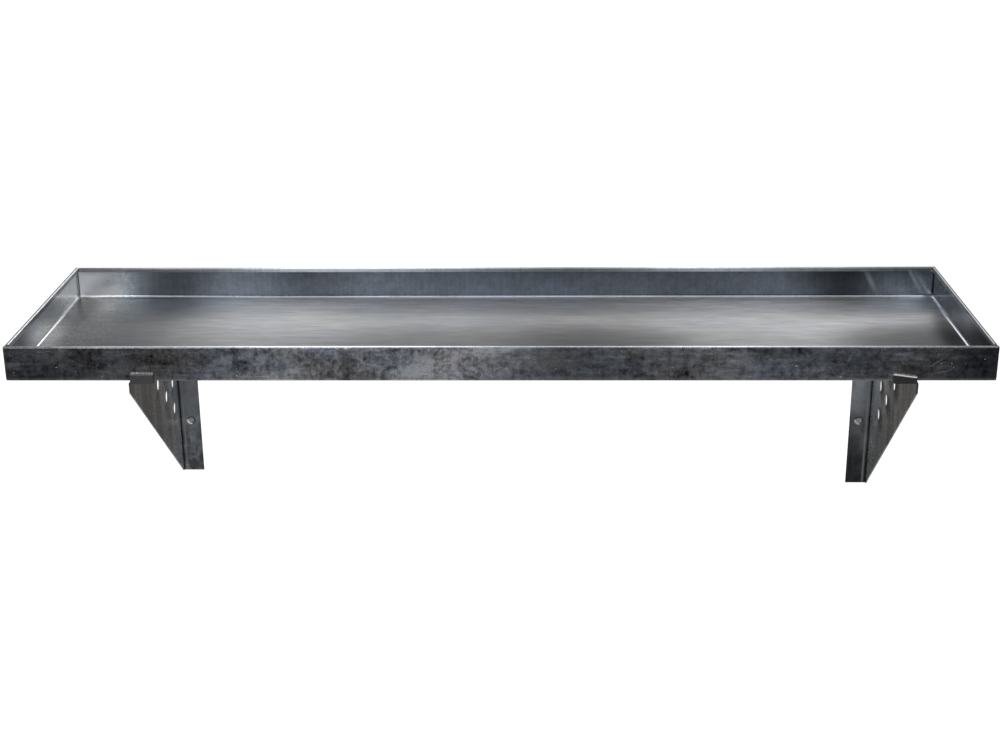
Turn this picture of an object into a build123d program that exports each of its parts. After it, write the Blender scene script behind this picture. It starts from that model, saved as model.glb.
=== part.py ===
from build123d import *
from math import cos, hypot, radians
import os

# Galvanised sheet-steel wall shelf: a shallow tray with hemmed walls, carried by
# two folded triangular brackets whose front lips hook over the tray's front wall.
# Millimetres. +X right, +Y towards the wall, +Z up.
# The origin is the centre of the four wall screws, on the wall plane.

os.makedirs("parts", exist_ok=True)

# ---- tray --------------------------------------------------------------------
tray_length = 1000.0
tray_depth = 281.0
tray_height = 37.5
tray_centre_x = -23.7
tray_sheet = 1.0
tray_bend_outer = 4.2
tray_bend_inner = tray_bend_outer - tray_sheet
hem_thickness = 4.0
hem_height = 5.0
hem_radius_outer = hem_thickness / 2
hem_radius_inner = hem_radius_outer - tray_sheet
hem_gap = 0.8
left_seam = 2.2
right_seam = 1.2
corner_tab_width = 16.0
corner_tab_drop = 6.0
corner_tab_lift = 2.0
floor_strip = 8.0
front_face_depth = 1.0

# ---- brackets ----------------------------------------------------------------
bracket_sheet = 1.5
bend_outer = 2.0
flange_width = 25.5
bracket_rear_x = 416.0
web_splay = 17.35
left_height = 220.0
right_height = 236.0
web_front_height = 12.0
web_foot_length = 3.0
lip_clearance = 0.5
lip_height = 9.0
right_lip_low_end = 6.0
relief_notch = 7.0
cut_margin = 1.0

# Flared lightening holes, three in the front row, two, then one.
flare_base_radius = 13.0
flare_rim_radius = 7.5
flare_back_radius = 14.0
flare_mouth_radius = 6.4
flare_height = 0.8
left_hole_start = (150.5, 59.0)
left_hole_pitch = (46.5, 32.5)
right_hole_start = (129.0, 51.5)
right_hole_pitch = (44.5, 35.0)
hole_rows = 3

# ---- wall screws -------------------------------------------------------------
screw_inset = 14.5
upper_screw_drop = 39.0
lower_screw_drop = 155.0
countersink_radius = 5.2
screw_hole_radius = 3.3
countersink_depth = 1.2
head_radius = 3.8
head_sink = 0.5
head_cone_depth = 1.5
shank_radius = 2.25
shank_length = 30.0
point_length = 5.0
point_radius = 0.3
recess_width = 0.9
recess_span = 4.2
recess_depth = 0.9
shank_straight = shank_length - point_length

# ---- derived levels ----------------------------------------------------------
tray_underside = (upper_screw_drop + lower_screw_drop) / 2
tray_front_y = -tray_depth
lip_inner_y = tray_front_y - lip_clearance
lip_outer_y = lip_inner_y - bracket_sheet
bracket_depth = -lip_outer_y
web_length = hypot(bracket_depth, web_splay)
web_slope = web_splay / bracket_depth
web_skew = bracket_sheet * web_length / bracket_depth
screw_x = bracket_rear_x - screw_inset
half_length = tray_length / 2
arc_mid = cos(radians(45))


def wall_profile(base_plane):
    """Closed section of one tray wall: floor strip, bend, wall and inward hem."""
    bend = tray_bend_outer
    crown = tray_height - hem_radius_outer
    leaf_end = tray_height - hem_height
    outer_mid = bend * (1 - arc_mid)
    inner_mid = bend - tray_bend_inner * arc_mid
    hem_inner_left = hem_radius_outer - hem_radius_inner
    hem_inner_right = hem_radius_outer + hem_radius_inner
    with BuildSketch(base_plane) as section:
        with BuildLine():
            Line((floor_strip, 0), (bend, 0))
            ThreePointArc((bend, 0), (outer_mid, outer_mid), (0, bend))
            Line((0, bend), (0, crown))
            ThreePointArc((0, crown), (hem_radius_outer, tray_height), (hem_thickness, crown))
            Line((hem_thickness, crown), (hem_thickness, leaf_end))
            Line((hem_thickness, leaf_end), (hem_inner_right, leaf_end))
            Line((hem_inner_right, leaf_end), (hem_inner_right, crown))
            ThreePointArc(
                (hem_inner_right, crown),
                (hem_radius_outer, crown + hem_radius_inner),
                (hem_inner_left, crown),
            )
            Line((hem_inner_left, crown), (tray_sheet, bend))
            ThreePointArc((tray_sheet, bend), (inner_mid, inner_mid), (bend, tray_sheet))
            Line((bend, tray_sheet), (floor_strip, tray_sheet))
            Line((floor_strip, tray_sheet), (floor_strip, 0))
        make_face()
    return section.sketch


def outside_bend(base_plane):
    """Section of the sharp corner that the rounded lower bend leaves empty."""
    bend = tray_bend_outer
    outer_mid = bend * (1 - arc_mid)
    with BuildSketch(base_plane) as section:
        with BuildLine():
            Line((0, 0), (bend, 0))
            ThreePointArc((bend, 0), (outer_mid, outer_mid), (0, bend))
            Line((0, bend), (0, 0))
        make_face()
    return section.sketch


# Walls are sections extruded along a plane: local x runs inwards, local y up.
front_plane = Plane(
    origin=(tray_centre_x - half_length, tray_front_y, tray_underside),
    x_dir=(0, 1, 0),
    z_dir=(1, 0, 0),
)
rear_plane = Plane(
    origin=(tray_centre_x + half_length - tray_sheet - right_seam, -tray_sheet, tray_underside),
    x_dir=(0, -1, 0),
    z_dir=(-1, 0, 0),
)
left_plane = Plane(
    origin=(tray_centre_x - half_length, -tray_sheet, tray_underside),
    x_dir=(1, 0, 0),
    z_dir=(0, -1, 0),
)
right_plane = Plane(
    origin=(tray_centre_x + half_length, tray_front_y + tray_sheet, tray_underside),
    x_dir=(-1, 0, 0),
    z_dir=(0, 1, 0),
)
rear_wall_length = tray_length - 2 * tray_sheet - left_seam - right_seam
side_wall_length = tray_depth - 2 * tray_sheet
side_bend_length = side_wall_length - front_face_depth
hem_band = hem_height + hem_gap
tab_height = tray_height - corner_tab_drop - corner_tab_lift

with BuildPart() as tray:
    # Floor sheet, reaching under every wall's floor strip.
    with BuildSketch(Plane(origin=(tray_centre_x, -tray_depth / 2, tray_underside))):
        Rectangle(tray_length - 2 * tray_bend_outer, tray_depth - 2 * tray_bend_outer)
    extrude(amount=tray_sheet)
    # Rear wall, between the side walls. Its hem is cut back at both ends by boxes centred
    # on the tray's top corners, so each box is twice as large as its cut.
    extrude(wall_profile(rear_plane), amount=rear_wall_length)
    with Locations((tray_centre_x, -tray_depth / 2, tray_underside + tray_height)):
        with GridLocations(tray_length, tray_depth, 2, 2):
            Box(
                2 * (hem_thickness + hem_gap),
                2 * (hem_thickness + tray_sheet + hem_gap),
                2 * hem_band,
                mode=Mode.SUBTRACT,
            )
    # Side walls run the full depth, with their hems cut back behind the front hem.
    extrude(wall_profile(left_plane), amount=side_wall_length)
    extrude(wall_profile(right_plane), amount=side_wall_length)
    with Locations((tray_centre_x, tray_front_y, tray_underside + tray_height)):
        Box(
            2 * tray_length,
            2 * (hem_thickness + hem_gap),
            2 * hem_band,
            mode=Mode.SUBTRACT,
        )
    # Side walls stop at the rounded front and rear bends.
    extrude(outside_bend(front_plane), amount=tray_length, mode=Mode.SUBTRACT)
    extrude(outside_bend(rear_plane), amount=rear_wall_length, mode=Mode.SUBTRACT)
    # Front wall runs the full length. Behind its face its bend stops at the side bends.
    extrude(wall_profile(front_plane), amount=tray_length)
    extrude(outside_bend(left_plane), amount=side_bend_length, mode=Mode.SUBTRACT)
    extrude(
        outside_bend(right_plane.offset(front_face_depth)),
        amount=side_bend_length,
        mode=Mode.SUBTRACT,
    )
    # Side walls turn into tabs that close the corners: behind the rear wall, inside the front.
    rear_tab_y = -tray_sheet / 2
    front_tab_y = tray_front_y + tray_sheet + tray_sheet / 2
    for edge_x, inward in ((-half_length, 1), (half_length, -1)):
        for tab_y in (rear_tab_y, front_tab_y):
            with Locations(
                (
                    tray_centre_x + edge_x + inward * corner_tab_width / 2,
                    tab_y,
                    tray_underside + corner_tab_lift + tab_height / 2,
                )
            ):
                Box(corner_tab_width, tray_sheet, tab_height)
tray.part.label = "tray"
export_step(tray.part, "parts/tray.step")


def hole_centres(start, pitch):
    """Centres along and below the web's top edge, in a right-angled triangle of rows."""
    centres = []
    for row in range(hole_rows):
        for column in range(row, hole_rows):
            centres.append((start[0] + column * pitch[0], -(start[1] + row * pitch[1])))
    return centres


def make_bracket(side, height, hole_start, hole_pitch, lip_low_end):
    """One folded bracket; side is -1 for the left one and +1 for the right one."""
    front_x = bracket_rear_x - web_splay
    lip_outer_x = front_x - bend_outer
    lip_inner_x = front_x - flange_width
    flange_inner_x = bracket_rear_x - flange_width
    foot_z = tray_underside - height
    web_plane = Plane(
        origin=(side * front_x, lip_outer_y, tray_underside),
        x_dir=(side * web_splay, bracket_depth, 0),
        z_dir=(bracket_depth, -side * web_splay, 0),
    )
    with BuildPart() as bracket:
        # Web, splayed outwards towards the wall, and the wall flange folded inwards from it.
        with BuildSketch(Plane(origin=(0, 0, foot_z))):
            with BuildLine():
                Polyline(
                    (side * front_x, lip_outer_y),
                    (side * bracket_rear_x, 0),
                    (side * flange_inner_x, 0),
                    (side * flange_inner_x, -bracket_sheet),
                    (side * (bracket_rear_x - web_skew - web_slope * bracket_sheet), -bracket_sheet),
                    (side * (front_x - web_skew), lip_outer_y),
                    close=True,
                )
            make_face()
        extrude(amount=height)
        # Top flange under the tray, folded inwards from the web.
        with BuildSketch(Plane(origin=(0, 0, tray_underside))):
            with BuildLine():
                Polyline(
                    (side * front_x, lip_outer_y),
                    (side * bracket_rear_x, 0),
                    (side * flange_inner_x, 0),
                    (side * lip_inner_x, lip_outer_y),
                    close=True,
                )
            make_face()
        extrude(amount=-bracket_sheet)
        # Both folds are rounded on the outside.
        top_fold = bracket.edges().group_by(Axis.Z)[-1].sort_by(Axis.X)[0 if side < 0 else -1]
        wall_fold = bracket.edges().filter_by(Axis.Z).sort_by(Axis.X)[0 if side < 0 else -1]
        fillet([top_fold, wall_fold], radius=bend_outer)
        # Sloping lower edge of the web.
        with BuildSketch(Plane.YZ):
            with BuildLine():
                Polyline(
                    (lip_outer_y - cut_margin, tray_underside - web_front_height),
                    (lip_outer_y, tray_underside - web_front_height),
                    (-web_foot_length, foot_z),
                    (-web_foot_length, foot_z - cut_margin),
                    (lip_outer_y - cut_margin, foot_z - cut_margin),
                    close=True,
                )
            make_face()
        extrude(amount=side * 2 * bracket_rear_x, mode=Mode.SUBTRACT)
        # Corner relief where the two folds meet: a box centred on the corner, so twice its cut.
        with Locations((side * bracket_rear_x, 0, tray_underside)):
            Box(
                2 * (flange_width + cut_margin),
                2 * relief_notch,
                2 * relief_notch,
                mode=Mode.SUBTRACT,
            )
        # Front lip, turned up in front of the tray's front wall.
        with BuildSketch(Plane(origin=(0, lip_outer_y, 0), x_dir=(1, 0, 0), z_dir=(0, -1, 0))):
            with BuildLine():
                Polyline(
                    (side * lip_inner_x, tray_underside - bracket_sheet),
                    (side * lip_outer_x, tray_underside - bracket_sheet),
                    (side * lip_outer_x, tray_underside + lip_low_end),
                    (side * lip_inner_x, tray_underside + lip_height),
                    close=True,
                )
            make_face()
        extrude(amount=-bracket_sheet)
        # Flared lightening holes: the flares stand out on the inward side of the web.
        inner_face = web_plane.offset(-side * bracket_sheet)
        for u, v in hole_centres(hole_start, hole_pitch):
            base = Plane(
                origin=inner_face.from_local_coords((u, v, 0)),
                x_dir=web_plane.x_dir,
                z_dir=web_plane.z_dir * -side,
            )
            with BuildSketch(base):
                Circle(flare_base_radius)
            with BuildSketch(base.offset(flare_height)):
                Circle(flare_rim_radius)
            loft()
        for u, v in hole_centres(hole_start, hole_pitch):
            back = Plane(
                origin=web_plane.from_local_coords((u, v, 0)),
                x_dir=web_plane.x_dir,
                z_dir=web_plane.z_dir * -side,
            )
            with BuildSketch(back):
                Circle(flare_back_radius)
            with BuildSketch(back.offset(bracket_sheet + flare_height)):
                Circle(flare_mouth_radius)
            loft(mode=Mode.SUBTRACT)
        # Countersunk wall-screw holes.
        for drop in (upper_screw_drop, lower_screw_drop):
            mouth = Plane(
                origin=(side * screw_x, -bracket_sheet, tray_underside - drop),
                x_dir=(1, 0, 0),
                z_dir=(0, 1, 0),
            )
            with BuildSketch(mouth):
                Circle(screw_hole_radius)
            extrude(amount=bracket_sheet, mode=Mode.SUBTRACT)
            with BuildSketch(mouth):
                Circle(countersink_radius)
            with BuildSketch(mouth.offset(countersink_depth)):
                Circle(screw_hole_radius)
            loft(mode=Mode.SUBTRACT)
    return bracket.part


left_bracket = make_bracket(-1, left_height, left_hole_start, left_hole_pitch, lip_height)
left_bracket.label = "left_bracket"
export_step(left_bracket, "parts/left_bracket.step")

right_bracket = make_bracket(
    1, right_height, right_hole_start, right_hole_pitch, right_lip_low_end
)
right_bracket.label = "right_bracket"
export_step(right_bracket, "parts/right_bracket.step")

# Countersunk wood screws, two through each wall flange into the wall.
with BuildPart() as wall_screws:
    for x in (-screw_x, screw_x):
        for drop in (upper_screw_drop, lower_screw_drop):
            head = Plane(
                origin=(x, head_sink - bracket_sheet, tray_underside - drop),
                x_dir=(1, 0, 0),
                z_dir=(0, 1, 0),
            )
            with BuildSketch(head):
                Circle(head_radius)
            with BuildSketch(head.offset(head_cone_depth)):
                Circle(shank_radius)
            loft()
            with BuildSketch(head.offset(head_cone_depth)):
                Circle(shank_radius)
            extrude(amount=shank_straight)
            with BuildSketch(head.offset(head_cone_depth + shank_straight)):
                Circle(shank_radius)
            with BuildSketch(head.offset(head_cone_depth + shank_length)):
                Circle(point_radius)
            loft()
            with BuildSketch(head):
                Rectangle(recess_span, recess_width)
                Rectangle(recess_width, recess_span)
            extrude(amount=recess_depth, mode=Mode.SUBTRACT)
wall_screws.part.label = "wall_screws"
export_step(wall_screws.part, "parts/wall_screws.step")
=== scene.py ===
import bpy
from math import cos, radians, sin
from mathutils import Matrix, Vector
from types import SimpleNamespace


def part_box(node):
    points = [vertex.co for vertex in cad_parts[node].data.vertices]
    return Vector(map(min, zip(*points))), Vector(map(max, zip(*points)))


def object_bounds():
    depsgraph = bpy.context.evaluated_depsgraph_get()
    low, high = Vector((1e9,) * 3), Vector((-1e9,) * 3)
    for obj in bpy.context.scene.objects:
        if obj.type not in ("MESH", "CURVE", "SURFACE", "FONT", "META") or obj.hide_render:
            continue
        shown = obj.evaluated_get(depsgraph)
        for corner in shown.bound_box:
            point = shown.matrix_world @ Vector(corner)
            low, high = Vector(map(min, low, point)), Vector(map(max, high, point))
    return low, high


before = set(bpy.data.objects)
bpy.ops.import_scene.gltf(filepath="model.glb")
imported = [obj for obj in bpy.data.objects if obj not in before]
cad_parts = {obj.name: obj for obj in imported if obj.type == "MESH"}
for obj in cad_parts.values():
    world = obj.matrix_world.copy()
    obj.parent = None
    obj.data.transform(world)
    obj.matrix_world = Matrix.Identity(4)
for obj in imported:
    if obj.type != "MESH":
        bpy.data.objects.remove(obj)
cad_low, cad_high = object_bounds()

# The tray's outer faces.
tray_low, tray_high = (Vector(v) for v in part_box("tray"))
left, right = tray_low.x, tray_high.x
front_y, rear_y = tray_low.y, tray_high.y
under, top = tray_low.z, tray_high.z
tray_mid_x = (left + right) / 2
tray_front_top = Vector((tray_mid_x, front_y, top))
left_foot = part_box("left_bracket")[0][2]
bracket_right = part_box("right_bracket")[1][0]

# ---- camera -------------------------------------------------------------------
# From the middle of the tray's top front edge. Sensor and lens are in millimetres.
CAMERA_OFFSET = Vector((0.0368, -1.5448, 0.5442))
PITCH = radians(20.394)
YAW = radians(-1.293)
ROLL = radians(0.457)
SENSOR = 36.0
LENS = 58.8384
NEAREST_SEEN = 0.05
FARTHEST_SEEN = 60.0


def make_camera():
    forward = Vector((sin(YAW) * cos(PITCH), cos(YAW) * cos(PITCH), -sin(PITCH)))
    level_right = Vector((cos(YAW), -sin(YAW), 0.0))
    level_down = forward.cross(level_right)
    right_hand = level_right * cos(ROLL) + level_down * sin(ROLL)
    down = -level_right * sin(ROLL) + level_down * cos(ROLL)
    turn = Matrix((right_hand, -down, -forward)).transposed()
    data = bpy.data.cameras.new("camera")
    data.sensor_width = SENSOR
    data.lens = LENS
    data.clip_start = NEAREST_SEEN
    data.clip_end = FARTHEST_SEEN
    camera = bpy.data.objects.new("camera", data)
    camera.matrix_world = Matrix.Translation(tray_front_top + CAMERA_OFFSET) @ turn.to_4x4()
    bpy.context.scene.collection.objects.link(camera)
    bpy.context.scene.camera = camera


# ---- node helpers -------------------------------------------------------------
class Graph:
    """Short calls for building one node material. Sizes and places are in metres."""

    def __init__(self, tree):
        self.tree = tree
        coords = tree.nodes.new("ShaderNodeTexCoord")
        self.place = coords.outputs["Object"]
        self.x, self.y, self.z = self.split(self.place)
        self.nx, self.ny, self.nz = self.split(coords.outputs["Normal"])

    def put(self, socket, value):
        """Links a socket, or sets a number or colour; None leaves the socket alone."""
        if isinstance(value, bpy.types.NodeSocket):
            self.tree.links.new(value, socket)
        elif value is not None:
            socket.default_value = value

    def math(self, operation, a, b=None):
        node = self.tree.nodes.new("ShaderNodeMath")
        node.operation = operation
        self.put(node.inputs[0], a)
        self.put(node.inputs[1], b)
        return node.outputs[0]

    def add(self, first, *others):
        for other in others:
            first = self.math("ADD", first, other)
        return first

    def times(self, first, *others):
        for other in others:
            first = self.math("MULTIPLY", first, other)
        return first

    def rest(self, value):
        """What is left of 1."""
        return self.math("SUBTRACT", 1.0, value)

    def dot(self, a, b):
        node = self.tree.nodes.new("ShaderNodeVectorMath")
        node.operation = "DOT_PRODUCT"
        self.put(node.inputs[0], a)
        self.put(node.inputs[1], b)
        return node.outputs["Value"]

    def split(self, vector):
        node = self.tree.nodes.new("ShaderNodeSeparateXYZ")
        self.put(node.inputs[0], vector)
        return node.outputs[0], node.outputs[1], node.outputs[2]

    def scaled(self, size, shift):
        mapping = self.tree.nodes.new("ShaderNodeMapping")
        self.put(mapping.inputs["Vector"], self.place)
        mapping.inputs["Location"].default_value = shift
        mapping.inputs["Scale"].default_value = [1.0 / s for s in size]
        return mapping.outputs[0]

    def noise(self, size, detail=2.0, rough=0.5, shift=(0.0, 0.0, 0.0), twist=0.0):
        """Noise whose blobs measure size along x, y and z; about 0.3 to 0.7."""
        node = self.tree.nodes.new("ShaderNodeTexNoise")
        self.put(node.inputs["Vector"], self.scaled(size, shift))
        node.inputs["Scale"].default_value = 1.0
        node.inputs["Detail"].default_value = detail
        node.inputs["Roughness"].default_value = rough
        node.inputs["Distortion"].default_value = twist
        return node.outputs["Fac"]

    def spangle(self, size, shift=(0.0, 0.0, 0.0)):
        """Zinc crystals: one random value for each cell of about size."""
        node = self.tree.nodes.new("ShaderNodeTexVoronoi")
        self.put(node.inputs["Vector"], self.scaled((size, size, size), shift))
        node.inputs["Scale"].default_value = 1.0
        return self.split(node.outputs["Color"])[0]

    def span(self, value, low, high, to_low=0.0, to_high=1.0):
        """Maps low..high smoothly on to to_low..to_high, clamped."""
        node = self.tree.nodes.new("ShaderNodeMapRange")
        node.interpolation_type = "SMOOTHSTEP"
        self.put(node.inputs["Value"], value)
        for name, number in (
            ("From Min", low),
            ("From Max", high),
            ("To Min", to_low),
            ("To Max", to_high),
        ):
            node.inputs[name].default_value = number
        return node.outputs["Result"]

    def sway(self, noise, amount):
        """A noise as a change of up to amount either way."""
        return self.span(noise, 0.3, 0.7, -amount, amount)

    def profile(self, levels):
        """A smooth curve through levels, evenly spaced from the tray's left to its right."""
        ramp = self.tree.nodes.new("ShaderNodeValToRGB")
        ramp.color_ramp.interpolation = "CARDINAL"
        highest = max(levels)
        stops = ramp.color_ramp.elements
        ready_made = len(stops)
        for index, level in enumerate(levels):
            at = index / (len(levels) - 1)
            stop = stops[index] if index < ready_made else stops.new(at)
            stop.position = at
            stop.color = (level / highest, level / highest, level / highest, 1.0)
        node = self.tree.nodes.new("ShaderNodeMapRange")
        self.put(node.inputs["Value"], self.x)
        node.inputs["From Min"].default_value = left
        node.inputs["From Max"].default_value = right
        self.put(ramp.inputs[0], node.outputs["Result"])
        return self.times(self.split(ramp.outputs["Color"])[0], highest)

    def mix(self, factor, a, b, blend="MIX"):
        node = self.tree.nodes.new("ShaderNodeMix")
        node.data_type = "RGBA"
        node.blend_type = blend
        # A mix node repeats its sockets for each data type; these are the colour ones.
        factor_in, a_in, b_in, colour_out = 0, 6, 7, 2
        self.put(node.inputs[factor_in], factor)
        self.put(node.inputs[a_in], rgba(a))
        self.put(node.inputs[b_in], rgba(b))
        return node.outputs[colour_out]

    def shade(self, colour, factor):
        """The colour multiplied by one number socket."""
        node = self.tree.nodes.new("ShaderNodeVectorMath")
        node.operation = "SCALE"
        self.put(node.inputs[0], colour)
        self.put(node.inputs["Scale"], factor)
        return node.outputs["Vector"]

    def near(self, value, centre, reach):
        """1 where a coordinate is at centre, falling smoothly to 0 at reach."""
        off = self.math("ABSOLUTE", self.math("SUBTRACT", value, centre))
        return self.span(off, 0.0, reach, 1.0, 0.0)

    def skin(self, value, face, inwards, depths):
        """1 at a face; on the way in it is still full at one depth and gone at the next."""
        full, gone = depths
        return self.span(value, face + inwards * gone, face + inwards * full)

    def line(self, value, face, inwards, place):
        """A soft line along a face: its distance from the face and how far it reaches."""
        depth, reach = place
        return self.near(value, face + inwards * depth, reach)

    def blob(self, centre, reach):
        """1 at a place, falling smoothly to 0 at reach along each axis; reach 0 skips the axis."""
        parts = [
            self.math("POWER", self.math("DIVIDE", self.math("SUBTRACT", socket, at), far), 2.0)
            for socket, at, far in zip((self.x, self.y, self.z), centre, reach)
            if far
        ]
        return self.span(self.add(*parts), 0.0, 1.0, 1.0, 0.0)

    def scratch(self, start, end, width):
        """1 on the line from start to end in x and z, falling smoothly to 0 at width."""
        run = Vector(end) - Vector(start)
        along, across = run.normalized(), Vector((-run.y, run.x)).normalized()
        dx, dz = self.math("SUBTRACT", self.x, start[0]), self.math("SUBTRACT", self.z, start[1])
        side = self.add(self.times(dx, across.x), self.times(dz, across.y))
        reach = self.add(self.times(dx, along.x), self.times(dz, along.y))
        return self.times(
            self.near(side, 0.0, width), self.near(reach, run.length / 2, run.length / 2)
        )


def rgba(value):
    """A colour with its alpha; a socket stays as it is."""
    return (*value, 1.0) if isinstance(value, tuple) else value


def metal(name):
    """A new metallic material; returns it, its graph and its shader node."""
    material = bpy.data.materials.new(name)
    material.use_nodes = True
    shader = material.node_tree.nodes["Principled BSDF"]
    shader.inputs["Metallic"].default_value = 1.0
    return material, Graph(material.node_tree), shader


def bump(graph, shader, height, distance, before=None):
    node = graph.tree.nodes.new("ShaderNodeBump")
    node.inputs["Distance"].default_value = distance
    graph.put(node.inputs["Height"], height)
    graph.put(node.inputs["Normal"], before)
    graph.put(shader.inputs["Normal"], node.outputs[0])
    return node.outputs[0]


# ---- galvanised tray ----------------------------------------------------------
# Painted light and shade: how light the steel is from the tray's left end to its right end, standing
# in for its reflections; the rim's levels are painted highlights on the hems.
FRONT_TONES = (0.36, 0.44, 0.52, 1.16, 1.02, 1.56, 0.42, 0.52, 0.66, 0.58, 0.42, 0.25)
FLOOR_TONES = (0.58, 0.35, 0.88, 1.00, 0.84, 0.84, 0.70, 0.72, 0.87, 0.98, 1.00, 1.05)
REAR_TONES = (2.30, 0.52, 0.66, 0.34, 0.76, 0.68, 0.72, 0.62, 0.40, 0.46, 0.15, 1.05)
RIM_TONES = (0.20, 0.46, 0.68, 1.38, 1.44, 0.88, 0.50, 0.58, 1.06, 0.70, 0.41, 0.25)
# Roughness that the floor adds to the steel's own, left to right: less at both ends.
FLOOR_HAZE = (0.10, 0.14, 0.26, 0.30, 0.26, 0.26, 0.26, 0.28, 0.32, 0.30, 0.22, 0.18)
# Painted shade on the floor: the middle of each darker place, how far it reaches in x and y, and the
# change.
FLOOR_SHADE_PATCHES = (
    ((left + 0.05, rear_y - 0.03, 0.0), (0.14, 0.10, 0.0), -0.20),
    ((tray_mid_x, front_y + 0.11, 0.0), (0.26, 0.09, 0.0), -0.28),
    ((tray_mid_x + 0.11, front_y + 0.11, 0.0), (0.12, 0.09, 0.0), -0.25),
    ((right - 0.02, front_y + 0.11, 0.0), (0.16, 0.10, 0.0), -0.84),
)
# Scratches as start, end and half-width, in x and z.
REAR_SCRATCHES = (
    ((0.440, 0.140), (0.468, 0.094), 0.0034),
    ((0.392, 0.138), (0.414, 0.096), 0.0050),
)
FRONT_SCRATCHES = (
    ((0.398, 0.106), (0.432, 0.129), 0.0010),
    ((0.404, 0.103), (0.440, 0.112), 0.0008),
    ((-0.300, 0.113), (-0.240, 0.117), 0.0008),
)
# Depths under the tray's outer faces at which a place is still full, and gone.
FRONT_SKIN = (0.002, 0.004)
REAR_SKIN = (0.004, 0.008)
SIDE_SKIN = (0.01, 0.02)
RIM_SKIN = (0.0052, 0.0062)
CROWN_SKIN = (0.0012, 0.0028)
SIDE_HEM_SKIN = (0.0042, 0.0050)
BEND_SKIN = (0.0045, 0.0055)
SEAM_SKIN = (0.0010, 0.0016)
# Lines along the faces: the distance from the face, and the reach.
HEM_LINE = (0.0033, 0.0013)
LEFT_SEAM_LINE = (0.0021, 0.0022)
RIGHT_SEAM_LINE = (0.0016, 0.0017)
FOLD_LINE = (0.0036, 0.0012)
COLD_STEEL = (0.500, 0.545, 0.610)
WARM_STEEL = (0.560, 0.545, 0.520)
FLOOR_STEEL = (0.57, 0.565, 0.56)
FRONT_STEEL = (0.55, 0.55, 0.575)
REAR_STEEL = (0.495, 0.55, 0.625)
HEM_HIGHLIGHT_STEEL = (0.80, 0.81, 0.83)
FROST_STEEL = (0.80, 0.84, 0.86)
SCUFF_STEEL = (0.85, 0.86, 0.88)
FLECK_STEEL = (0.9, 0.9, 0.92)
FOLD_HIGHLIGHT_STEEL = (0.7, 0.7, 0.72)
SEAM_SHADE = (0.02, 0.02, 0.02)
GRAZING_TINT = (0.7, 0.7, 0.7, 1.0)
BEND_HIGHLIGHT = 1.7
TRAY_ROUGHNESS = 0.17
RIPPLE_HEIGHT = 0.0004
SPECKLE_HEIGHT = 0.00003


def tray_texture(g):
    """Zinc crystals, fine speckle, upright streaks, brushing and clouds of oxide."""
    steel = SimpleNamespace()
    steel.crystal = g.spangle(0.0045)
    steel.coarse = g.spangle(0.011, (3.0, 1.0, 2.0))
    steel.speckle = g.noise((0.0022, 0.0022, 0.003), detail=3.0, rough=0.7)
    steel.upright = g.noise((0.004, 0.03, 0.035), detail=3.0, rough=0.6, shift=(1.0, 4.0, 0.0))
    steel.brush = g.noise((0.022, 0.0030, 0.02), detail=3.0, rough=0.6, shift=(4.0, 6.0, 1.0))
    steel.tint = g.noise((0.07, 0.06, 0.035), detail=3.0, shift=(7.0, 0.0, 2.0))
    steel.fleck = g.noise((0.0035, 0.0035, 0.0025), shift=(9.0, 2.0, 4.0))
    steel.ripple = g.noise(
        (0.045, 0.009, 0.050), detail=4.0, rough=0.55, shift=(1.0, 2.0, 3.0), twist=0.2
    )
    steel.smoke = g.noise(
        (0.020, 0.02, 0.014), detail=5.0, rough=0.62, shift=(2.0, 7.0, 3.0), twist=0.8
    )
    steel.mottle = g.noise(
        (0.0055, 0.0055, 0.0050), detail=3.0, rough=0.6, shift=(6.0, 3.0, 8.0), twist=0.5
    )
    wisp = g.noise(
        (0.045, 0.02, 0.0045), detail=4.0, rough=0.62, shift=(5.0, 2.0, 1.0), twist=0.4
    )
    cloud = g.noise((0.10, 0.07, 0.05), detail=4.0, rough=0.55, shift=(3.1, 0.4, 1.7), twist=0.5)
    steel.clouded = g.span(cloud, 0.40, 0.66)
    steel.wisps = g.times(g.span(wisp, 0.46, 0.66), g.span(cloud, 0.38, 0.62))
    steel.grain = g.add(
        g.span(steel.crystal, 0.0, 1.0, -0.10, 0.10),
        g.span(steel.coarse, 0.0, 1.0, -0.07, 0.07),
        g.sway(steel.speckle, 0.16),
        g.sway(steel.upright, 0.14),
    )
    return steel


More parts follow.
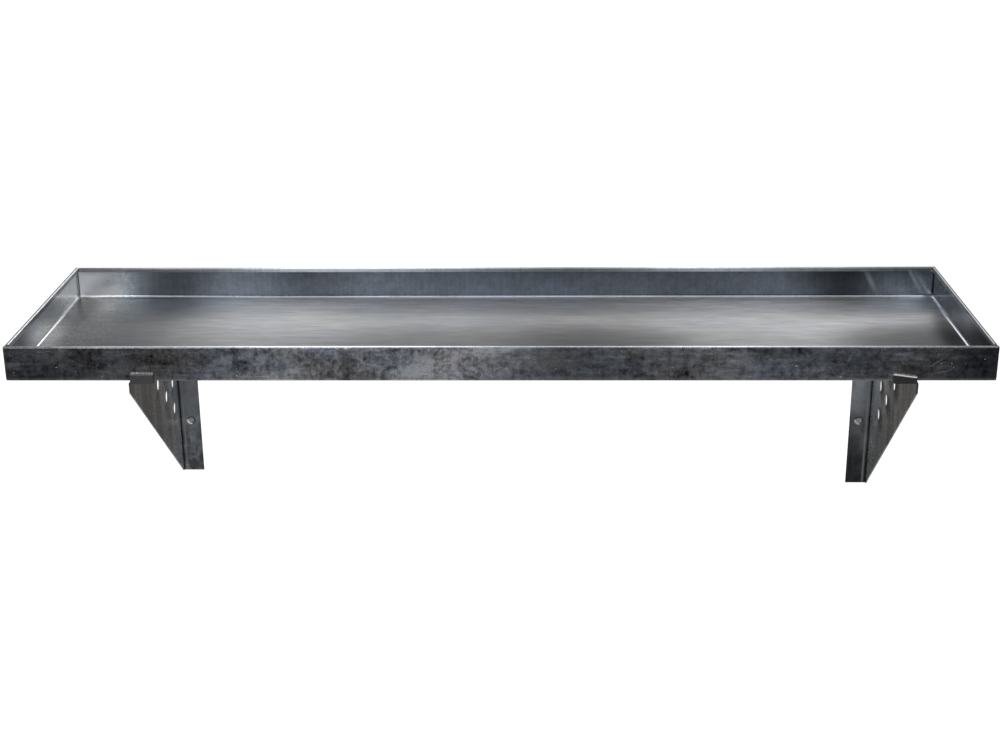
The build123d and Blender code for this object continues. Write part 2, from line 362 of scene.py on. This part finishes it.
def tray_places(g, steel):
    """Where on the tray a point is: each value is 1 on the named place and 0 off it."""
    on = SimpleNamespace()
    facing_front = g.span(g.ny, -0.6, -0.9)
    on.floor = g.span(g.nz, 0.6, 0.95)
    on.front = g.times(facing_front, g.skin(g.y, front_y, 1, FRONT_SKIN))
    on.rear = g.times(facing_front, g.skin(g.y, rear_y, -1, REAR_SKIN))
    on.left_side = g.times(g.span(g.nx, 0.6, 0.9), g.skin(g.x, left, 1, SIDE_SKIN))
    on.right_side = g.times(g.span(g.nx, -0.6, -0.9), g.skin(g.x, right, -1, SIDE_SKIN))

    # Hems, which get painted highlights: the rear one's inner leaf, the crowns, and the side ones
    # except their outer faces.
    rim = g.skin(g.z, top, -1, RIM_SKIN)
    crown = g.times(g.skin(g.z, top, -1, CROWN_SKIN), g.span(g.nz, 0.0, 0.5))
    side_strip = g.add(g.skin(g.x, left, 1, SIDE_HEM_SKIN), g.skin(g.x, right, -1, SIDE_HEM_SKIN))
    inner_line = g.add(g.line(g.x, left, 1, HEM_LINE), g.line(g.x, right, -1, HEM_LINE))
    outward = g.times(g.nx, g.span(g.x, tray_mid_x - 0.01, tray_mid_x + 0.01, -1.0, 1.0))
    on.side_hem = g.times(side_strip, g.span(g.y, front_y + 0.0040, front_y + 0.0060))
    on.hem_inside = g.times(inner_line, g.span(g.y, front_y + 0.006, front_y + 0.010))
    on.leaf = g.times(on.rear, rim)
    hem_band = g.times(rim, on.side_hem, g.span(outward, 0.85, 0.6))
    on.edges = g.math("MINIMUM", g.add(on.leaf, crown, hem_band), 1.0)

    # The bends between the floor and the side walls, with a painted highlight, the open seams in the
    # rear corners, with painted shade, and the front wall's lower fold, with a painted highlight.
    on.bend = g.times(
        g.skin(g.z, under, 1, BEND_SKIN),
        g.span(g.nz, 0.15, 0.35),
        g.span(g.nz, 0.97, 0.90),
        g.span(g.math("ABSOLUTE", g.nx), 0.2, 0.4),
    )
    on.seam = g.times(
        g.skin(g.y, rear_y, -1, SEAM_SKIN),
        g.add(g.line(g.x, left, 1, LEFT_SEAM_LINE), g.line(g.x, right, -1, RIGHT_SEAM_LINE)),
    )
    on.fold_line = g.times(on.front, g.line(g.z, under, 1, FOLD_LINE))

    # Pale oxide in the left rear corner, on the wall faces.
    frost = g.times(
        g.span(g.x, left + 0.078, left + 0.052),
        g.span(g.y, rear_y - 0.12, rear_y - 0.02),
        g.span(steel.smoke, 0.30, 0.62, 0.55, 1.0),
    )
    on.frost = g.times(frost, g.add(on.left_side, on.rear))
    return on


def tray_shade(g, steel, on):
    """Painted light and shade: how light the steel's reflections are along the length and across each
    face, broken up by the texture of each face.
    """
    front_shade = g.times(
        g.profile(FRONT_TONES),
        g.add(
            0.62,
            steel.grain,
            g.times(steel.clouded, 0.45),
            g.times(steel.wisps, 0.60),
            g.span(steel.smoke, 0.36, 0.64, -0.22, 0.36),
            g.span(steel.mottle, 0.36, 0.64, -0.17, 0.17),
        ),
    )
    # Patches of painted shade on the floor.
    shade_patches = (g.times(g.blob(middle, reach), change) for middle, reach, change in FLOOR_SHADE_PATCHES)
    floor_shade = g.times(
        g.profile(FLOOR_TONES),
        # Painted reflection: lighter towards the rear, darker towards the front.
        g.span(g.y, rear_y - 0.02, front_y + 0.08, 1.38, 0.66),
        g.add(1.0, *shade_patches),
        g.add(1.0, g.sway(steel.ripple, 0.10), g.sway(steel.brush, 0.07), g.sway(steel.speckle, 0.03)),
    )
    rear_shade = g.times(
        g.profile(REAR_TONES),
        g.add(0.9, g.times(steel.grain, 0.55), g.times(steel.clouded, 0.18)),
    )
    # Painted light and shade on the side walls, changing from the rear to the front.
    nearer = g.span(g.y, rear_y - 0.05, front_y + 0.05)
    nearest = g.span(g.y, front_y + 0.13, front_y + 0.04)
    side_shade = g.add(
        1.0,
        g.times(steel.grain, 0.5),
        g.times(steel.clouded, 0.1),
        g.times(on.right_side, g.add(-0.72, g.times(nearer, 0.70), g.times(nearest, -0.75))),
        g.times(on.left_side, g.add(0.95, g.times(nearer, -0.15), g.times(nearest, -1.55))),
    )
    shade = g.add(
        g.times(on.front, front_shade),
        g.times(on.floor, floor_shade),
        g.times(on.rear, rear_shade),
        g.times(g.rest(g.add(on.front, on.floor, on.rear)), side_shade),
    )
    # Painted highlights on the hems: the rim's levels on the front and rear ones; on the side ones,
    # painted shade with a bright painted line on the inner side.
    side_tone = g.add(0.03, g.times(on.hem_inside, 1.35))
    edge_tone = g.add(
        g.times(g.profile(RIM_TONES), g.rest(on.side_hem)), g.times(on.side_hem, side_tone)
    )
    shade = g.add(
        g.times(shade, g.rest(on.edges)),
        g.times(on.edges, edge_tone, g.add(1.0, g.times(steel.grain, 0.4))),
    )
    # A painted highlight along the bends.
    return g.add(g.times(shade, g.rest(on.bend)), g.times(on.bend, BEND_HIGHLIGHT))


def tray_material():
    material, g, shader = metal("galvanised_tray")
    steel = tray_texture(g)
    on = tray_places(g, steel)
    colour = g.mix(g.span(steel.tint, 0.36, 0.62), COLD_STEEL, WARM_STEEL)
    colour = g.mix(g.times(on.floor, 0.8), colour, FLOOR_STEEL)
    colour = g.mix(g.times(on.front, 0.3), colour, FRONT_STEEL)
    colour = g.mix(on.rear, colour, REAR_STEEL)
    colour = g.mix(on.edges, colour, HEM_HIGHLIGHT_STEEL)
    colour = g.mix(g.times(on.frost, 0.8), colour, FROST_STEEL)
    # The steel's colour times its painted light and shade.
    colour = g.shade(colour, tray_shade(g, steel, on))

    # Scuffs on the rear and front walls, bright specks of zinc, a painted highlight along the front
    # wall's lower fold and painted shade in the open seams.
    marks = [g.times(on.rear, g.scratch(*line)) for line in REAR_SCRATCHES]
    marks += [g.times(on.front, g.scratch(*line)) for line in FRONT_SCRATCHES]
    scuffs = g.math("MINIMUM", g.add(*marks), 1.0)
    flecks = g.times(g.span(steel.fleck, 0.735, 0.77), on.front)
    colour = g.mix(g.times(scuffs, 0.22), colour, SCUFF_STEEL)
    colour = g.mix(flecks, colour, FLECK_STEEL)
    colour = g.mix(g.times(on.fold_line, 0.35), colour, FOLD_HIGHLIGHT_STEEL)
    # Painted shade in the open seams.
    colour = g.mix(g.times(on.seam, 0.95), colour, SEAM_SHADE)
    g.put(shader.inputs["Base Color"], colour)
    g.put(shader.inputs["Metallic"], g.add(1.0, g.times(on.frost, -0.16)))
    shader.inputs["Specular Tint"].default_value = GRAZING_TINT

    rough = g.add(
        TRAY_ROUGHNESS,
        g.times(on.floor, g.profile(FLOOR_HAZE)),
        g.times(on.leaf, 0.28),
        g.times(on.front, g.add(g.times(steel.clouded, 0.10), g.times(steel.wisps, 0.14))),
        g.times(on.frost, 0.20),
        g.times(scuffs, 0.3),
        g.times(flecks, 0.4),
        g.sway(steel.speckle, 0.03),
    )
    g.put(shader.inputs["Roughness"], rough)
    waves = g.times(steel.ripple, g.add(0.15, g.times(on.floor, 0.85)))
    grit = g.add(g.times(steel.speckle, 0.5), g.times(steel.crystal, 0.25))
    first = bump(g, shader, waves, RIPPLE_HEIGHT)
    bump(g, shader, grit, SPECKLE_HEIGHT, first)
    return material


# ---- galvanised brackets ------------------------------------------------------
# Across the flange, from the middle of the shelf: the fold and the flange's middle.
WEB_REAR_X = bracket_right - 0.0018
FLANGE_MID = bracket_right - 0.013
SCREW_X, SCREW_Z = 0.4015, 0.058
BROWN_WEB = (0.46, 0.435, 0.40)
PALE_WEB = (0.82, 0.785, 0.74)
GREEN_WEB = (0.72, 0.79, 0.77)
WEB_TOP_SHADE = (0.20, 0.19, 0.18)
FLANK_HIGHLIGHT = (0.80, 0.76, 0.84)
CRESCENT_SHADE = (0.14, 0.14, 0.15)
FLANK_SHADE = (0.07, 0.07, 0.08)
DARK_PLATE = (0.44, 0.45, 0.49)
PALE_PLATE = (0.88, 0.90, 0.92)
PLATE_BAND_REFLECTION = (0.92, 0.95, 0.97)
FOOT_BLOTCH = (0.16, 0.16, 0.17)
FOOT_SHADE = (0.13, 0.13, 0.135)
LIP_SHADE = (0.27, 0.26, 0.25)
LIP_HIGHLIGHT = (0.97, 0.97, 0.98)
LIP_TOP_HIGHLIGHT = (0.95, 0.95, 0.96)
DISH_SHADE = (0.10, 0.10, 0.10)
DISH_HIGHLIGHT = (0.98, 0.98, 0.98)
SHINE = (0.95, 0.95, 0.95)
CREASE_SHADE = (0.04, 0.04, 0.04)
BRACKET_ROUGHNESS = 0.28
BRACKET_BUMP = 0.0006


def hole_places(first, pitch, rows=3):
    """Centres of a bracket's holes as y and z: rows of three, two and one."""
    return [
        (first[0] + column * pitch[0], first[1] - row * pitch[1])
        for row in range(rows)
        for column in range(row, rows)
    ]


LEFT_HOLES = hole_places((-0.1328, 0.0380), (0.0464, 0.0325))
RIGHT_HOLES = hole_places((-0.1542, 0.0455), (0.0444, 0.0350))


def hole_patches(g, holes, shift, reach):
    """A soft patch beside every hole, shifted and reaching so far in y and z, for painted light and
    shade around the flares.
    """
    return g.add(
        *(g.blob((0.0, y + shift[0], z + shift[1]), (0.0, *reach)) for y, z in holes)
    )


def web_colour(g, streak, right_one):
    """Brown-grey towards the front, greener near the wall, with painted shade along the top fold."""
    web = g.mix(g.span(streak, 0.34, 0.66), BROWN_WEB, PALE_WEB)
    web = g.mix(g.span(g.y, -0.10, -0.02, 0.0, 0.65), web, GREEN_WEB)
    web = g.mix(g.span(g.z, under - 0.004, under + 0.001, 0.0, 0.6), web, WEB_TOP_SHADE)
    # Painted light and shade: lighter towards the foot, with a darker belt across the middle.
    web = g.shade(web, g.span(g.z, 0.05, -0.08, 1.08, 1.30))
    web = g.shade(web, g.add(1.0, g.times(g.near(g.z, -0.03, 0.07), -0.28)))
    # Painted light and shade beside the flares on the inward side: a painted highlight on a flank and
    # a painted dark crescent on the left bracket's, painted shade on a flank of the right one's.
    inside = g.span(g.times(g.nx, g.span(g.x, -0.01, 0.01, 1.0, -1.0)), 0.7, 0.9)
    left_inside = g.times(g.rest(right_one), inside)
    flank_light = hole_patches(g, LEFT_HOLES, (-0.014, 0.0), (0.018, 0.016))
    crescent_shade = hole_patches(g, LEFT_HOLES, (-0.004, -0.0115), (0.008, 0.0075))
    flank_shade = hole_patches(g, RIGHT_HOLES, (-0.013, -0.002), (0.021, 0.019))
    web = g.mix(g.times(flank_light, left_inside, 0.35), web, FLANK_HIGHLIGHT)
    web = g.mix(g.times(crescent_shade, left_inside, 0.75), web, CRESCENT_SHADE)
    return g.mix(g.times(flank_shade, right_one, inside, 0.9), web, FLANK_SHADE)


def flange_colour(g, cloud, from_middle, right_one):
    """Cloudy, with a painted reflection as a paler band down the middle, dark blotches towards the
    foot and painted shade at the right one's foot.
    """
    blotch = g.noise((0.013, 0.02, 0.022), detail=3.0, rough=0.6, shift=(4.0, 1.0, 0.0), twist=0.5)
    plate = g.mix(g.span(cloud, 0.36, 0.64), DARK_PLATE, PALE_PLATE)
    plate = g.mix(g.times(g.near(from_middle, FLANGE_MID, 0.011), 0.45), plate, PLATE_BAND_REFLECTION)
    foot = g.span(g.z, left_foot + 0.10, left_foot + 0.01)
    foot_blotches = g.times(foot, g.span(blotch, 0.40, 0.58))
    foot_shade = g.times(right_one, g.span(g.z, 0.0, -0.10))
    # Darker blotches towards the foot.
    plate = g.mix(g.times(foot_blotches, 0.8), plate, FOOT_BLOTCH)
    # Painted shade at the right flange's foot.
    plate = g.mix(g.times(foot_shade, 0.75), plate, FOOT_SHADE)
    # Painted light and shade: the right flange is lighter at the top and darker at the foot; the left
    # one is darker all over, most at the top.
    plate_tone = g.add(
        1.0,
        g.times(right_one, g.span(g.z, -0.06, 0.04), 0.45),
        g.times(right_one, g.span(g.z, -0.085, -0.115), -0.50),
        g.times(g.rest(right_one), g.span(g.z, -0.10, 0.06, -0.18, -0.36)),
    )
    return g.shade(plate, plate_tone)


def screw_offset(g):
    """Distance from the nearest screw's axis, and 1 on its lower left side."""
    off_x = g.math("SUBTRACT", g.x, g.span(g.x, -0.01, 0.01, -SCREW_X, SCREW_X))
    off_z = g.math("SUBTRACT", g.z, g.span(g.z, -0.01, 0.01, -SCREW_Z, SCREW_Z))
    off = g.math("SQRT", g.add(g.times(off_x, off_x), g.times(off_z, off_z)))
    lower_left = g.add(g.times(off_x, -0.7), g.times(off_z, -0.7))
    return off, g.span(lower_left, 0.0014, 0.0030)


def bracket_material():
    material, g, shader = metal("galvanised_bracket")
    flange = g.times(g.span(g.ny, -0.45, -0.65), g.span(g.y, -0.02, -0.01))
    lip = g.span(g.y, front_y + 0.0008, front_y)
    lip_face = g.times(lip, g.span(g.ny, -0.6, -0.95))
    from_middle = g.math("ABSOLUTE", g.x)
    right_one = g.span(g.x, 0.0, 0.01)

    cloud = g.noise((0.030, 0.03, 0.045), detail=4.0, rough=0.55, shift=(2.0, 1.0, 5.0), twist=0.4)
    streak = g.noise((0.03, 0.022, 0.11), detail=2.5, rough=0.5, shift=(0.0, 3.0, 1.0), twist=0.3)
    speckle = g.noise((0.0025, 0.0025, 0.003), detail=2.0, rough=0.6)
    crystal = g.spangle(0.006)
    grain = g.times(
        g.add(g.span(crystal, 0.0, 1.0, -0.05, 0.05), g.sway(speckle, 0.06)),
        g.add(0.2, g.times(flange, 0.8)),
    )
    web = web_colour(g, streak, right_one)
    colour = g.mix(flange, web, flange_colour(g, cloud, from_middle, right_one))

    # Lips: painted shade on their faces, the right one darker, with a painted highlight along the top
    # and on the top faces. The right one's top slopes down away from the middle of the shelf.
    lip_top = g.add(under + 0.0082, g.times(right_one, g.span(g.x, 0.372, 0.398, 0.0, -0.0028)))
    lip_highlight = g.times(lip, g.near(g.z, lip_top, 0.0014), g.add(0.18, g.times(right_one, 0.82)))
    colour = g.mix(lip_face, colour, LIP_SHADE)
    colour = g.shade(colour, g.add(1.0, g.times(lip, right_one, -0.35)))
    colour = g.mix(lip_highlight, colour, LIP_HIGHLIGHT)
    colour = g.mix(g.times(lip, g.span(g.nz, 0.5, 0.9)), colour, LIP_TOP_HIGHLIGHT)
    colour = g.shade(colour, g.add(1.0, grain))

    # Countersinks with a painted dark ring and a painted highlight on one side, and the fold with a
    # painted shine beside it and painted shade in its crease.
    off, lit_side = screw_offset(g)
    dish = g.times(flange, g.span(off, 0.0056, 0.0048))
    lit = g.times(dish, lit_side)
    crease_shade = g.times(g.near(from_middle, WEB_REAR_X, 0.0017), g.span(g.y, -0.006, -0.003))
    shine = g.times(flange, g.near(from_middle, WEB_REAR_X - 0.0036, 0.0022))
    colour = g.mix(g.times(dish, 0.8), colour, DISH_SHADE)
    colour = g.mix(lit, colour, DISH_HIGHLIGHT)
    # A painted shine beside the fold and painted shade in its crease.
    colour = g.mix(g.times(shine, 0.5), colour, SHINE)
    colour = g.mix(g.times(crease_shade, 0.9), colour, CREASE_SHADE)
    g.put(shader.inputs["Base Color"], colour)
    g.put(shader.inputs["Metallic"], g.add(1.0, g.times(lip_highlight, -0.5), g.times(lit, -0.7)))

    rough = g.add(
        BRACKET_ROUGHNESS,
        g.times(flange, 0.10),
        g.times(lip, -0.06),
        g.span(speckle, 0.3, 0.7, -0.03, 0.04),
    )
    g.put(shader.inputs["Roughness"], rough)
    bump(g, shader, g.add(g.times(cloud, 0.6), g.times(speckle, 0.02)), BRACKET_BUMP)
    return material


# ---- zinc screws --------------------------------------------------------------
DARK_ZINC = (0.72, 0.70, 0.66)
PALE_ZINC = (0.90, 0.88, 0.84)
SCREW_RIM_SHADE = (0.15, 0.15, 0.15)
SCREW_RIM_HIGHLIGHT = (0.97, 0.97, 0.96)
SCREW_BUMP = 0.0001


def screw_material():
    material, g, shader = metal("zinc_screw")
    off, lit_side = screw_offset(g)
    rim = g.span(off, 0.0029, 0.0034)
    speckle = g.noise((0.0012, 0.0012, 0.0012), detail=2.0)
    zinc = g.mix(g.span(speckle, 0.3, 0.7), DARK_ZINC, PALE_ZINC)
    # A painted dark rim, with a painted highlight on its lower left side.
    zinc = g.mix(g.times(rim, 0.75), zinc, SCREW_RIM_SHADE)
    zinc = g.mix(g.times(rim, lit_side), zinc, SCREW_RIM_HIGHLIGHT)
    g.put(shader.inputs["Base Color"], zinc)
    g.put(shader.inputs["Metallic"], g.add(0.88, g.times(rim, lit_side, -0.45)))
    g.put(shader.inputs["Roughness"], g.span(speckle, 0.3, 0.7, 0.44, 0.54))
    bump(g, shader, speckle, SCREW_BUMP)
    return material


# ---- studio -------------------------------------------------------------------
FLOOR_DROP = 1.0
FLOOR_SIZE = 60.0
FLOOR_PAINT = (0.92, 0.92, 0.92)
FLOOR_PAINT_ROUGHNESS = 0.9
WORLD_WHITE = (1.0, 1.0, 1.0)
WORLD_STRENGTH = 1.25
DOME_RADIUS = 8.0
DOME_SEGMENTS = 48
DOME_RINGS = 24
# Soft lights on the dome: azimuth from +Y towards +X and elevation in degrees, the
# spread in degrees at which the light has faded out, and its colour.
DOME_LIGHTS = (
    (-11.0, 29.0, 13.0, (1.25, 1.25, 1.25)),
    (11.0, 29.0, 13.0, (1.50, 1.50, 1.50)),
    (0.0, 24.0, 34.0, (0.20, 0.205, 0.215)),
    (0.0, 90.0, 50.0, (1.9, 1.92, 1.95)),
    (206.0, 24.0, 12.0, (5.0, 5.1, 5.15)),
    (19.0, 19.0, 8.5, (2.00, 2.06, 2.10)),
    (130.0, 27.0, 14.0, (3.0, 3.0, 3.0)),
    (-19.0, 19.0, 8.0, (0.40, 0.41, 0.42)),
    (152.0, 22.0, 14.0, (1.8, 1.85, 1.9)),
    (183.0, -20.0, 26.0, (0.17, 0.172, 0.18)),
    (60.0, -20.0, 60.0, (0.10, 0.097, 0.094)),
    (-60.0, -20.0, 60.0, (0.10, 0.097, 0.094)),
    (180.0, 25.0, 50.0, (0.04, 0.06, 0.10)),
    (62.0, -10.0, 34.0, (0.30, 0.30, 0.31)),
    (-62.0, -10.0, 34.0, (0.30, 0.30, 0.31)),
    (118.0, -8.0, 34.0, (0.30, 0.30, 0.31)),
    (-118.0, -8.0, 34.0, (0.30, 0.30, 0.31)),
    (0.0, -90.0, 62.0, (0.26, 0.26, 0.27)),
)
# The dome's own glow, low down and high up.
DOME_BASE_LOW = (0.05, 0.05, 0.052)
DOME_BASE_HIGH = (0.15, 0.155, 0.17)


def make_world():
    """A white world that lights the shelf but isn't mirrored in it."""
    world = bpy.data.worlds.new("studio")
    world.use_nodes = True
    background = world.node_tree.nodes["Background"]
    background.inputs["Color"].default_value = rgba(WORLD_WHITE)
    background.inputs["Strength"].default_value = WORLD_STRENGTH
    world.cycles_visibility.glossy = False
    bpy.context.scene.world = world


def make_floor():
    """A wide matt floor well under the shelf, not mirrored in it."""
    half = FLOOR_SIZE / 2
    mesh = bpy.data.meshes.new("studio_floor")
    corners = [(-half, -half, 0), (half, -half, 0), (half, half, 0), (-half, half, 0)]
    mesh.from_pydata(corners, [], [(0, 1, 2, 3)])
    floor = bpy.data.objects.new("studio_floor", mesh)
    floor.location = (tray_mid_x, 0.0, cad_low[2] - FLOOR_DROP)
    bpy.context.scene.collection.objects.link(floor)
    paint = bpy.data.materials.new("studio_floor")
    paint.use_nodes = True
    coat = paint.node_tree.nodes["Principled BSDF"]
    coat.inputs["Base Color"].default_value = rgba(FLOOR_PAINT)
    coat.inputs["Roughness"].default_value = FLOOR_PAINT_ROUGHNESS
    coat.inputs["Specular IOR Level"].default_value = 0.0
    floor.data.materials.append(paint)
    floor.visible_glossy = False


def dome_glow():
    """Light for the dome's inside: a faint base with every soft light added."""
    glow = bpy.data.materials.new("studio_dome")
    glow.use_nodes = True
    tree = glow.node_tree
    tree.nodes.remove(tree.nodes["Principled BSDF"])
    emission = tree.nodes.new("ShaderNodeEmission")
    tree.links.new(emission.outputs[0], tree.nodes["Material Output"].inputs["Surface"])
    g = Graph(tree)
    unit = tree.nodes.new("ShaderNodeVectorMath")
    unit.operation = "NORMALIZE"
    g.put(unit.inputs[0], g.place)
    direction = unit.outputs["Vector"]
    height = g.split(direction)[2]
    total = g.mix(g.span(height, -0.35, 0.5), DOME_BASE_LOW, DOME_BASE_HIGH)
    for azimuth, elevation, spread, light in DOME_LIGHTS:
        a, e = radians(azimuth), radians(elevation)
        aim = (sin(a) * cos(e), cos(a) * cos(e), sin(e))
        near = g.span(g.dot(direction, aim), cos(radians(spread)), 1.0)
        total = g.mix(near, total, g.mix(1.0, total, light, "ADD"))
    g.put(emission.inputs["Color"], total)
    glow.cycles.emission_sampling = "NONE"
    return glow


def make_dome():
    """A glowing dome that is seen only in the steel's reflections."""
    bpy.ops.mesh.primitive_uv_sphere_add(
        segments=DOME_SEGMENTS, ring_count=DOME_RINGS, radius=DOME_RADIUS
    )
    dome = bpy.context.object
    dome.name = "studio_dome"
    dome.data.materials.append(dome_glow())
    dome.visible_camera = False
    dome.visible_diffuse = False
    dome.visible_shadow = False


def dress(node, material):
    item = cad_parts[node]
    item.data.materials.clear()
    item.data.materials.append(material)


bpy.context.scene.view_settings.view_transform = "Standard"
make_camera()
make_world()
make_floor()
make_dome()
dress("tray", tray_material())
bracket_steel = bracket_material()
dress("left_bracket", bracket_steel)
dress("right_bracket", bracket_steel)
dress("wall_screws", screw_material())
